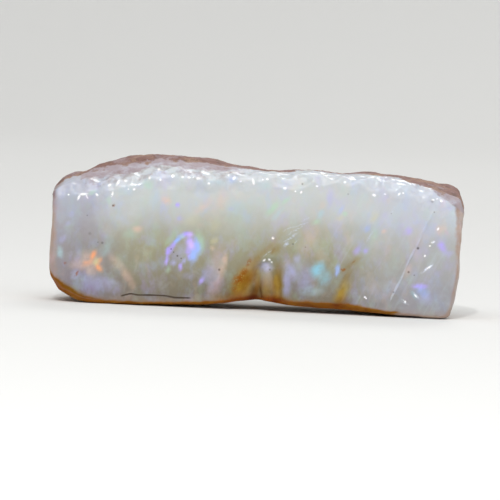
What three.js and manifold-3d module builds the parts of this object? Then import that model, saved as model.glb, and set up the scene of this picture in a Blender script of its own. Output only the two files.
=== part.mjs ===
// A rough opal specimen: one brick of milky seam opal, broken from its host rock.
//
// The stone grew and broke as one piece, so it is one solid. It starts as a block whose front
// outline follows the specimen's, with a humped skin on top. Every break is then cut out of the
// block the way it came off the stone: shell-shaped flakes along the upper front rim, a stained
// notch with a small knob standing in it, long slanting steps across the face, and broad
// flake scars on the ends and the back. A cut through the lowest points gives it the two feet
// it rests on.
//
// Millimetres. The broken face looks along -Y, +X runs to its right end and +Z is up.

import * as THREE from "three";
import { ConvexGeometry } from "three/addons/geometries/ConvexGeometry.js";
import { ImprovedNoise } from "three/addons/math/ImprovedNoise.js";
import { mergeVertices } from "three/addons/utils/BufferGeometryUtils.js";
import Module from "manifold-3d";

// Driving dimensions

const DEPTH = 10.6; // from the broken face to the back
const BEVEL_DEPTH = 0.75; // how far back the face's worn margin runs
const RIDGE_DEPTH = 4.2; // where the top hump is highest, behind the face
const BACK_DROP = 1.7; // how much lower the top is at the back than at its ridge
const BACK_RELIEF = 0.75; // unevenness of the broken back
const BACK_ROUNDING = { ends: 0.9, edges: 0.55 }; // how far the back falls away towards its margins
const END_RELIEF = 0.25; // unevenness of the two ends
const END_TAPER = { left: 1.5, right: 1.1 }; // how much shorter the stone is at the back
const TOP_RELIEF = 0.2; // unevenness of the skin on top
const KEEL_RELIEF = 0.2; // unevenness of the underside
const FACE_RELIEF = 0.09; // unevenness of the broken face
const LUMP_SIZES = { face: 3.4, top: 2.3, keel: 2.6, ends: 3, back: 4.5 };
const LEAN = THREE.MathUtils.degToRad(2.7); // turn about Y that sets the stone on both feet
const FOOT_CUT = 0.16; // height worn off the lowest points

const TRIANGLES = 9400; // the solid's budget
const SHORTEST_EDGE = 0.07;
const SMALLEST_FACET = 4e-4; // square millimetres
const THINNING_SHARE = 0.25; // of what is over the budget, taken in one pass
const SHORT_EDGE_COST = 1e-6; // weighs the harm of joining an edge under the shortest, so that it goes first
const LENGTH_COST = 1e-6; // weighs an edge's length against the harm of joining its ends
const CELLS = { length: 38, depth: 11, height: 13 }; // facets of the block along X, Y and Z
const CELL_GATHER = 0.45; // how strongly the facets gather towards the face and the back

// The broken face: its set-back, the bow at its ends and the shallow dish low on its left

const FACE_DEPTH = 0.2;
const FACE_BOW = { left: { from: 12.5, depth: 0.3 }, right: { from: 11, depth: 0.25 }, end: 16.5 };
const FACE_DISH = { at: [-7, 5], half: [5, 3.2], depth: 0.22 };

// How the top and the underside change behind the face: heights, and the depths [from, to] they change over

const SHOULDER_DEPTH = 1;
const TOP_FALL = [4.7, 12.1];
const TOP_ROUGH = [2.5, 5];
const RIM_WEAR = { height: 0.45, depth: 0.6 };
const KEEL_RISE = { height: 0.9, over: [7.6, 11.2] };
const KEEL_ARCH = { height: 0.5, over: [1.6, 4], middle: 2, half: 6.5 };
const KEEL_ROUGH = [1.5, 4];
const TAPER_OVER = [4, 12.6];
const ENDS_ROUGH = [1, 3];
const BACK_SHARE = [0.55, 1]; // the shares of the depth over which the back takes on its own shape

// The outline of the face, as [x, z] points along each side

const RIDGE_LINE = [
  [-16.4, 10.4], [-15.3, 11.3], [-14.6, 11.7], [-13.8, 11.75], [-12.8, 12.4], [-11.4, 12.8],
  [-9.4, 13.08], [-7.6, 13.12], [-5.6, 12.96], [-3.2, 12.65], [-0.6, 12.15], [1.2, 11.76],
  [2.6, 11.76], [4.5, 11.96], [6.2, 11.65], [9.4, 11.66], [11.8, 11.42], [13.2, 11.2],
  [14.6, 10.8], [15.9, 10.72], [16.4, 10.3], [16.8, 9.8],
];
const SHOULDER_LINE = [
  [-16.4, 10.25], [-15.2, 11.05], [-13.9, 11.3], [-12.2, 11.35], [-10.4, 11.65], [-9.0, 11.85],
  [-8.0, 12.25], [-5.9, 12.15], [-2.7, 11.9], [0.6, 11.8], [2.6, 11.65], [4.5, 11.85],
  [6.4, 11.55], [10.5, 11.4], [12.8, 10.95], [14.4, 10.35], [15.6, 10.1], [16.8, 9.4],
];
const KEEL_LINE = [
  [-16.5, 3.0], [-16.1, 2.55], [-15.5, 2.15], [-14.3, 1.52], [-13.1, 1.26], [-11.2, 1.24],
  [-8.0, 1.18], [-4.6, 1.18], [-2.7, 1.28], [-1.2, 1.52], [0.0, 1.62], [1.0, 1.41],
  [2.8, 1.1], [5.4, 0.86], [8.0, 0.66], [10.4, 0.38], [12.4, 0.26], [14.2, 0.04],
  [15.3, 0.05], [15.75, 0.35], [16.1, 1.1],
];

// The two ends, as [share of the height, x]

const LEFT_END = [[0, -15.85], [0.05, -16.4], [0.12, -16.55], [0.5, -16.48], [0.92, -16.62], [1, -16.3]];
const RIGHT_END = [
  [0, 15.5], [0.04, 15.85], [0.16, 16.15], [0.4, 16.4], [0.7, 16.54], [0.93, 16.75], [1, 16.45],
];

// How far the face's margin is worn back from that outline: low by x, right by height share

const KEEL_INSET = [
  [-16.4, 0.35], [-14, 0.34], [-11, 0.22], [-3, 0.16], [2.4, 0.3], [4, 0.46], [7, 0.54],
  [10, 0.3], [13, 0.12], [16, 0.2],
];
const LEFT_INSET = 0.36;
const RIGHT_INSET = [[0, 0.5], [0.3, 0.28], [0.6, 0.1], [1, 0.2]];

// Flakes struck off the upper front rim, as [x, lowest height on the face, half width]

const RIM_FLAKES = [
  [-15.4, 9.75, 0.7], [-14.2, 9.75, 0.9], [-12.9, 9.95, 0.75], [-11.7, 10.05, 0.8], [-10.5, 10.35, 0.8],
  [-9.3, 10.5, 0.75], [-8.1, 11.05, 0.65], [-7.0, 11.2, 0.7], [-5.8, 11.3, 0.7], [-4.6, 11.25, 0.65],
  [-3.3, 10.95, 0.85], [-2.0, 11.25, 0.65], [-0.9, 11.0, 0.75], [0.4, 10.95, 0.8], [1.8, 10.55, 1.0],
  [3.6, 10.15, 1.5], [5.3, 10.5, 1.0], [6.6, 10.95, 0.7], [7.6, 10.7, 0.7], [8.6, 10.75, 0.6],
  [9.6, 9.95, 0.8], [10.9, 10.0, 0.9], [12.2, 10.0, 0.85], [13.5, 9.75, 0.95], [14.7, 9.35, 0.8],
  [15.6, 9.1, 0.7],
];

const RIM_FLAKE = { out: [0.25, -0.8, 0.62], turn: 2.4, share: 0.62, margin: 0.3, sunk: 0.05, depth: 0.34 };

// Smaller flakes behind them, where the break meets the skin, as [x, half width]

const SHOULDER_FLAKES = [
  [-14.4, 0.7], [-12.6, 0.65], [-10.9, 0.7], [-9.3, 0.8], [-7.4, 0.6], [-5.2, 0.75], [-3.6, 0.6],
  [-1.2, 0.8], [2.6, 0.6], [6.0, 0.7], [8.3, 0.75], [10.2, 0.6], [11.9, 0.7], [13.6, 0.75],
];

const SHOULDER_FLAKE = { out: [0.3, -0.55, 1], turn: 2.9, back: 1.15, sway: 0.25, radius: 0.6, depth: 0.2 };

// A flake's bowl, as shares of its radius, and how far above its rim it cuts

const FLAKE_RINGS = [0, 0.5, 0.95, 1.4];
const FLAKE_REACH = 2.5;

// Slanting steps across the face, each from its low end to its high end

const FACE_STEPS = [
  { from: [5.9, 1.1], to: [10.6, 9.4], width: 3.0, depth: 0.07 },
  { from: [10.8, 1.9], to: [14.4, 8.9], width: 1.0, depth: 0.13 },
  { from: [12.6, 2.4], to: [15.2, 8.4], width: 1.6, depth: 0.07 },
  { from: [2.2, 4.6], to: [5.8, 9.0], width: 1.4, depth: 0.06 },
];
const STEP_SHARES = [[0, 0.03], [0.25, 0.8], [0.6, 1], [1, 0.03]]; // a step's size along its length
const STEP_SECTION = [[0, 1], [-0.6, -4], [1, 0], [1, -4]]; // as [share of the width, share of the depth]

// The stained notch low in the face, and the two lobes of the knob that stands in it

const NOTCH = { left: -2.4, right: 2.0, deepest: 0.15, shelf: 1.2, head: 1.0, depth: 1.2, open: 2.5 };
const NOTCH_SHARES = { slope: 0.62, shelf: 0.64, wall: 0.34 }; // of the notch's depth
const NOTCH_SECTIONS = [[-1, 1], [1.6, 1], [3, 0.8], [4.2, 0.45], [5.1, 0], [8, -1.5]]; // as [height, size]
const KNOB_LOBES = [
  { at: [0.98, 0.9, 2.85], half: [0.68, 0.78, 2.02] },
  { at: [1.5, 1.2, 2.45], half: [0.46, 0.58, 1.75] },
];
const KNOB_TURN = -0.06;
const KNOB_FOOT = 1.5; // the height that the knob ends at

// Broad flakes struck off the face's right, the right end, the left end, the back and the back's margins

const BROAD_FLAKES = [
  { at: [14.1, 0.1, 4.4], out: [0.1, -1, 0.1], radius: 0.75, depth: 0.12, grain: [1, 0, 0.8] },
  { at: [13.6, 0.1, 2.6], out: [0, -1, -0.1], radius: 0.9, depth: 0.12, grain: [1, 0, -0.6] },
  { at: [14.6, 0.15, 6.3], out: [0.1, -1, 0], radius: 0.8, depth: 0.12, grain: [0.5, 0, 1] },
  { at: [15.6, 0.4, 1.5], out: [1, -0.8, -0.1], radius: 0.9, depth: 0.1, grain: [0, 0, 1] },

  { at: [16.65, 2.8, 4.8], out: [1, -0.1, 0.05], radius: 2.4, depth: 0.35, grain: [0, 0, 1] },
  { at: [16.25, 6.6, 7.4], out: [1, 0.2, 0.2], radius: 2.8, depth: 0.5, grain: [0, 1, 0] },
  { at: [15.9, 6.4, 2.8], out: [1, 0.2, -0.25], radius: 2.4, depth: 0.45, grain: [0, 1, 0] },

  { at: [-16.5, 3.6, 7.4], out: [-1, -0.05, 0.15], radius: 2.7, depth: 0.4, grain: [0, 0, 1] },
  { at: [-16.1, 6.8, 4.0], out: [-1, 0.2, -0.1], radius: 2.9, depth: 0.55, grain: [0, 1, 0] },
  { at: [-15.4, 8.5, 8.6], out: [-1, 0.7, 0.35], radius: 2.2, depth: 0.5, grain: [0, 1, 1] },

  { at: [-11.6, 10.1, 7.4], out: [-0.15, 1, 0.15], radius: 3.6, depth: 0.75, grain: [1, 0, 0.5] },
  { at: [-10.6, 10.0, 3.6], out: [-0.1, 1, -0.2], radius: 3.0, depth: 0.6, stretch: 1.2 },
  { at: [-5.0, 10.3, 6.2], out: [0.1, 1, 0.1], radius: 3.7, depth: 0.8, grain: [0.4, 0, 1] },
  { at: [0.8, 10.1, 3.8], out: [-0.05, 1, -0.15], radius: 3.5, depth: 0.7, grain: [1, 0, 0.3] },
  { at: [2.2, 10.2, 8.0], out: [0.05, 1, 0.25], radius: 3.2, depth: 0.7, stretch: 1.2 },
  { at: [7.6, 10.0, 5.2], out: [0, 1, 0], radius: 3.5, depth: 0.75, grain: [0.5, 0, 1] },
  { at: [12.8, 9.6, 7.0], out: [0.25, 1, 0.15], radius: 3.2, depth: 0.7, grain: [1, 0, -0.6] },
  { at: [12.4, 9.6, 2.8], out: [0.15, 1, -0.2], radius: 2.8, depth: 0.6, stretch: 1.3 },

  { at: [-9.0, 9.4, 10.6], out: [0, 0.8, 1], radius: 1.9, depth: 0.35, stretch: 1.7 },
  { at: [-3.2, 9.2, 10.8], out: [0.1, 0.8, 1], radius: 1.7, depth: 0.3, stretch: 1.4 },
  { at: [6.4, 9.2, 10.3], out: [0, 0.9, 1], radius: 1.8, depth: 0.35, stretch: 1.8 },
  { at: [-13.6, 8.2, 10.4], out: [-0.3, 0.6, 1], radius: 1.5, depth: 0.3, stretch: 1.3 },
  { at: [-5.8, 9.3, 1.5], out: [0, 0.9, -1], radius: 1.6, depth: 0.3, stretch: 1.7 },
  { at: [6.0, 9.2, 1.2], out: [0, 0.9, -1], radius: 1.6, depth: 0.3, stretch: 1.8 },
  { at: [13.2, 3.4, 11.1], out: [0.2, -0.1, 1], radius: 1.2, depth: 0.15, stretch: 1.4 },
];

const wasm = await Module();
wasm.setup();
const noise = new ImprovedNoise();

const mix = THREE.MathUtils.lerp;
const ease = THREE.MathUtils.smoothstep;

// The second number of a list of [key, value] points, at a key between them.
function along(points, key) {
  const next = points.findIndex((point) => point[0] >= key);
  if (next === 0) return points[0][1];
  if (next < 0) return points.at(-1)[1];
  const [before, after] = [points[next - 1], points[next]];
  return mix(before[1], after[1], (key - before[0]) / (after[0] - before[0]));
}

// Smooth unevenness, about one unit up and down, with lumps of a given size.
function lumps(x, y, z, size) {
  return noise.noise(x / size + 7.3, y / size + 2.1, z / size + 4.7) * 1.6;
}

// Depth of the broken face: nearly flat, bowed back at both ends and dished low on the left.
function faceDepth(x, z) {
  const { left, right, end } = FACE_BOW;
  const bow = right.depth * ease(x, right.from, end) + left.depth * ease(-x, left.from, end);
  const { at, half, depth } = FACE_DISH;
  const dish = depth * Math.exp(-(((x - at[0]) / half[0]) ** 2) - ((z - at[1]) / half[1]) ** 2);
  return FACE_DEPTH + bow + dish + FACE_RELIEF * lumps(x, 0, z, LUMP_SIZES.face);
}

// The height of the top of the stone: the flaked shoulder in front, the hump, and the fall to the back.
function topHeight(x, y) {
  const rise = mix(along(SHOULDER_LINE, x), along(RIDGE_LINE, x), ease(y, SHOULDER_DEPTH, RIDGE_DEPTH));
  const fall = BACK_DROP * ease(y, ...TOP_FALL);
  const worn = RIM_WEAR.height * (1 - ease(y, 0, RIM_WEAR.depth));
  return rise - fall - worn + TOP_RELIEF * lumps(x, y, 0, LUMP_SIZES.top) * ease(y, ...TOP_ROUGH);
}

// The height of the underside: a worn front margin, then a nearly level base that rises at the back.
function keelHeight(x, y) {
  const wear = along(KEEL_INSET, x) * (1 - ease(y, 0, BEVEL_DEPTH));
  const rise = KEEL_RISE.height * ease(y, ...KEEL_RISE.over);
  const { height, over, middle, half } = KEEL_ARCH;
  const arch = height * ease(y, ...over) * Math.exp(-(((x - middle) / half) ** 2));
  const rough = KEEL_RELIEF * lumps(x, y, 20, LUMP_SIZES.keel) * ease(y, ...KEEL_ROUGH);
  return along(KEEL_LINE, x) + wear + rise + arch + rough;
}

// Where a point of a unit block lies on the stone. across, back and up run from 0 to 1.
function blockPoint(across, back, up) {
  const y = DEPTH * mix(back, ease(back, 0, 1), CELL_GATHER);
  const margin = 1 - ease(y, 0, BEVEL_DEPTH);
  const taper = ease(y, ...TAPER_OVER);
  const wobble = END_RELIEF * ease(y, ...ENDS_ROUGH);
  const left = along(LEFT_END, up) + LEFT_INSET * margin + END_TAPER.left * taper
    + wobble * lumps(0, y, 12 * up, LUMP_SIZES.ends);
  const right = along(RIGHT_END, up) - along(RIGHT_INSET, up) * margin - END_TAPER.right * taper
    + wobble * lumps(9, y, 12 * up, LUMP_SIZES.ends);
  const x = mix(left, right, across);
  const z = mix(keelHeight(x, y), topHeight(x, y), up);
  const rounding = BACK_ROUNDING.ends * (2 * across - 1) ** 4 + BACK_ROUNDING.edges * (2 * up - 1) ** 2;
  const sunk = (BACK_RELIEF * lumps(x, 11, z, LUMP_SIZES.back) + rounding) * ease(back, ...BACK_SHARE);
  return new THREE.Vector3(x, y + faceDepth(x, z) * (1 - back) - sunk, z);
}

// A manifold-3d solid from a closed geometry.
function solidOf(geometry) {
  const bare = geometry.index ? geometry.toNonIndexed() : geometry.clone();
  const shell = new THREE.BufferGeometry().setAttribute("position", bare.getAttribute("position"));
  const merged = mergeVertices(shell, 1e-4);
  return new wasm.Manifold(new wasm.Mesh({
    numProp: 3,
    vertProperties: merged.attributes.position.array,
    triVerts: new Uint32Array(merged.index.array),
  }));
}

// The uncut block.
function block() {
  const { length, depth, height } = CELLS;
  const box = new THREE.BoxGeometry(1, 1, 1, length, height, depth);
  box.rotateX(Math.PI / 2).translate(0.5, 0.5, 0.5);
  const place = box.getAttribute("position");
  for (let i = 0; i < place.count; i++) {
    const point = blockPoint(place.getX(i), place.getY(i), place.getZ(i));
    place.setXYZ(i, point.x, point.y, point.z);
  }
  return solidOf(box);
}

// A shell-shaped flake: a shallow bowl that opens along `out`, long along `grain`.
function flake({ at, out, radius, depth, stretch = 1, grain = [1, 0, 0], sides = 11 }) {
  const profile = FLAKE_RINGS.map((ring) => new THREE.Vector2(ring * radius, depth * (ring ** 2 - 1)));
  const above = FLAKE_REACH * radius;
  profile.push(new THREE.Vector2(2 * radius, above), new THREE.Vector2(0, above));
  const up = new THREE.Vector3(...out).normalize();
  const side = new THREE.Vector3().crossVectors(new THREE.Vector3(...grain), up).normalize();
  const long = new THREE.Vector3().crossVectors(up, side);
  const place = new THREE.Matrix4().makeBasis(long, up, side);
  place.scale(new THREE.Vector3(stretch, 1, 1)).setPosition(...at);
  return solidOf(new THREE.LatheGeometry(profile, sides).applyMatrix4(place));
}

// A long slanting step across the face: steep along the line from one end to the other, and
// running out on its right-hand side.
function step({ from, to, width, depth }) {
  const [start, end] = [new THREE.Vector2(...from), new THREE.Vector2(...to)];
  const beside = end.clone().sub(start).normalize().rotateAround(new THREE.Vector2(), -Math.PI / 2);
  const points = [];
  for (const [share, size] of STEP_SHARES) {
    const line = start.clone().lerp(end, share);
    for (const [reach, sunk] of STEP_SECTION) {
      const [x, z] = line.clone().addScaledVector(beside, reach * width * size).toArray();
      points.push(new THREE.Vector3(x, faceDepth(x, z) + sunk * depth * size, z));
    }
  }
  return solidOf(new ConvexGeometry(points));
}

// The flakes along the upper front rim, and the smaller ones behind them.
function rimFlakes() {
  const front = RIM_FLAKES.map(([x, low, half], i) => {
    const { out, turn, share, margin, sunk, depth } = RIM_FLAKE;
    const high = along(SHOULDER_LINE, x);
    const radius = share * (high - low) + margin;
    return flake({
      at: [x, faceDepth(x, low) - sunk, mix(low, high, share)],
      out: [out[0] * Math.sin(i * turn), out[1], out[2]],
      radius,
      depth: depth * radius,
      stretch: half / radius,
    });
  });
  const behind = SHOULDER_FLAKES.map(([x, half], i) => {
    const { out, turn, back, sway, radius, depth } = SHOULDER_FLAKE;
    return flake({
      at: [x, back + sway * Math.sin(i * 1.9), topHeight(x, back)],
      out: [out[0] * Math.sin(i * turn), out[1], out[2]],
      radius,
      depth,
      stretch: half / radius,
      sides: 9,
    });
  });
  return [...front, ...behind];
}

// The stained notch: a hollow that deepens to the right, ends at a wall and narrows upwards.
function notch() {
  const points = [];
  for (const [z, size] of NOTCH_SECTIONS) {
    const width = Math.max(size, 0);
    const left = mix(NOTCH.head, NOTCH.left, width);
    const deepest = mix(NOTCH.head, NOTCH.deepest, width);
    const between = mix(left, deepest, 0.6);
    const { slope, shelf, wall } = NOTCH_SHARES;
    const section = [[left, 0], [between, slope], [deepest, 1], [NOTCH.shelf, shelf], [NOTCH.right, wall]];
    for (const [x, share] of section) {
      const sunk = NOTCH.depth * (share * width + Math.min(size, 0));
      points.push(new THREE.Vector3(x, faceDepth(x, z) + sunk, z));
      points.push(new THREE.Vector3(x, -NOTCH.open, z));
    }
  }
  return solidOf(new ConvexGeometry(points));
}

// The small upright knob that stands in the notch.
function knob() {
  const above = new THREE.BoxGeometry(6, 6, 8).translate(1, 1, KNOB_FOOT + 4);
  const lobes = KNOB_LOBES.map(({ at, half }) => {
    return solidOf(new THREE.SphereGeometry(1, 14, 12).scale(...half).rotateY(KNOB_TURN).translate(...at));
  });
  return lobes[0].add(lobes[1]).intersect(solidOf(above));
}

// A closed geometry from a manifold-3d solid.
function geometryOf(solid) {
  const mesh = solid.getMesh();
  const geometry = new THREE.BufferGeometry();
  geometry.setAttribute("position", new THREE.BufferAttribute(mesh.vertProperties, mesh.numProp));
  geometry.setIndex(new THREE.BufferAttribute(mesh.triVerts, 1));
  return geometry;
}

// The best place for two joined points to meet, and the harm that does to the flat facets around them.
function meeting(a, b, facets) {
  const places = a.z === 0 ? [a] : b.z === 0 ? [b] : [a, b, a.clone().lerp(b, 0.5)];
  const harms = places.map((place) => {
    return facets.reduce((sum, f) => sum + f.area * f.plane.distanceToPoint(place) ** 2, 0);
  });
  const least = Math.min(...harms);
  return { place: places[harms.indexOf(least)], harm: least };
}

// The same closed surface on fewer triangles: short edges go first, and then those that shape it least.
function thinned(geometry, budget) {
  const place = geometry.getAttribute("position");
  const points = [];
  for (let i = 0; i < place.count; i++) points.push(new THREE.Vector3().fromBufferAttribute(place, i));
  const index = Array.from(geometry.index.array);
  let facets = [];
  for (let i = 0; i < index.length; i += 3) facets.push({ corners: index.slice(i, i + 3) });
  const triangle = new THREE.Triangle();
  for (let joined = 1; joined > 0; ) {
    const around = points.map(() => []);
    for (const facet of facets) {
      triangle.set(...facet.corners.map((p) => points[p]));
      facet.area = triangle.getArea();
      facet.plane = triangle.getPlane(new THREE.Plane());
      facet.corners.forEach((p) => around[p].push(facet));
    }
    const ringOf = (p) => new Set(around[p].flatMap((f) => f.corners).filter((q) => q !== p));
    const edges = [];
    for (const { corners } of facets) {
      corners.forEach((a, k) => {
        const b = corners[(k + 1) % 3];
        if (a > b) return;
        const length = points[a].distanceTo(points[b]);
        const both = [...new Set([...around[a], ...around[b]])];
        const { place, harm } = meeting(points[a], points[b], both);
        const cost = length < SHORTEST_EDGE ? harm * SHORT_EDGE_COST : harm + LENGTH_COST * length;
        edges.push({ a, b, both, place, cost });
      });
    }
    edges.sort((one, other) => one.cost - other.cost);
    const spent = new Set();
    const gone = new Set();
    const over = facets.length - budget;
    joined = 0;
    for (const { a, b, both, place, cost } of edges) {
      const short = points[a].distanceTo(points[b]) < SHORTEST_EDGE;
      if (!short && gone.size >= over) continue;
      if (!short && gone.size >= over * THINNING_SHARE + 2) break;
      if (both.some((f) => f.corners.some((p) => spent.has(p)))) continue;
      const ring = ringOf(b);
      if ([...ringOf(a)].filter((p) => ring.has(p)).length !== 2) continue;
      const closing = both.filter((f) => f.corners.includes(a) && f.corners.includes(b));
      const staying = both.filter((f) => !closing.includes(f));
      const turned = staying.some((f) => {
        triangle.set(...f.corners.map((p) => (p === a || p === b ? place : points[p])));
        const facing = triangle.getNormal(new THREE.Vector3()).dot(f.plane.normal);
        return triangle.getArea() < SMALLEST_FACET || (f.area > SMALLEST_FACET && facing < 0.5);
      });
      if (turned) continue;
      both.forEach((f) => f.corners.forEach((p) => spent.add(p)));
      closing.forEach((f) => gone.add(f));
      points[a].copy(place);
      staying.forEach((f) => { f.corners = f.corners.map((p) => (p === b ? a : p)); });
      joined += 1;
    }
    facets = facets.filter((f) => !gone.has(f));
  }
  const corners = facets.flatMap((f) => f.corners.map((p) => points[p]));
  return mergeVertices(new THREE.BufferGeometry().setFromPoints(corners), 1e-5);
}

// The stone leaned onto its feet, with its base at zero and its box centred over the origin.
function standing(solid) {
  const leaned = geometryOf(solid).rotateY(-LEAN);
  leaned.computeBoundingBox();
  const { min, max } = leaned.boundingBox;
  const floor = min.z + FOOT_CUT;
  const [length, depth] = [max.x - min.x, max.y - min.y];
  const below = new THREE.BoxGeometry(2 * length, 3 * depth, 4).translate(0, depth / 2, floor - 2);
  const stood = geometryOf(solidOf(leaned).subtract(solidOf(below)));
  stood.computeBoundingBox();
  const middle = stood.boundingBox.getCenter(new THREE.Vector3());
  return thinned(stood.translate(-middle.x, -middle.y, -floor), TRIANGLES);
}

const cuts = [...rimFlakes(), ...FACE_STEPS.map(step), notch(), ...BROAD_FLAKES.map(flake)];
const broken = cuts.reduce((stone, cut) => stone.subtract(cut), block()).add(knob());

const opal = new THREE.Mesh(
  standing(broken),
  new THREE.MeshStandardMaterial({ color: 0xb9b9b4, roughness: 0.3, metalness: 0 }),
);
opal.name = "rough_opal";

const specimen = new THREE.Group();
specimen.add(opal);

export default specimen;
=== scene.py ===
"""A rough opal specimen in a small studio: one brick of milky opal, broken from its seam.

The stone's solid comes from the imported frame. This file gives it the fine surface of a broken
opal, its colours, and the pale stage it is seen on. Marks on the face are placed in millimetres:
across from the frame's origin and up from the ground line, as the face is seen level.
"""

import math

import bmesh
import bpy
from mathutils import Matrix, Vector


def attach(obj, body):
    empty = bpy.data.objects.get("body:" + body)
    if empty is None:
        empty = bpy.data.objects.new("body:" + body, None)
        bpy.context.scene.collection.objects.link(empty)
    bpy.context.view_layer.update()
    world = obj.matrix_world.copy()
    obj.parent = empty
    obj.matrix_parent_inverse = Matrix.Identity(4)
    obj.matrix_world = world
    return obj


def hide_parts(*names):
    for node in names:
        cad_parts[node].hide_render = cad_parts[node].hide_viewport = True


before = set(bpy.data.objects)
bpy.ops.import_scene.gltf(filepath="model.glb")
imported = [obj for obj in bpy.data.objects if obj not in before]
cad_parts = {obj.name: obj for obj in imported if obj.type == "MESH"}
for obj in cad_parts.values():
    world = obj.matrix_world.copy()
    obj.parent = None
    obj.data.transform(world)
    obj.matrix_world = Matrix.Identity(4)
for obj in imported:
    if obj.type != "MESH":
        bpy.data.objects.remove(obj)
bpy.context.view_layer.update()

bl_info = {
    "name": "Rough opal specimen",
    "version": (1, 0, 0),
    "blender": (4, 5, 0),
    "location": "3D View > Sidebar > Opal",
    "description": "Gives a rough opal its broken surface, its play of colour and a small studio",
    "category": "Object",
}

MM = 0.001
NODE = "rough_opal"

# How the stone stands: its face is seen turned by this much about Y
LEAN = math.radians(2.7)
FACE_DEPTH = 4.9  # the face lies this far in front of the origin

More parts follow.
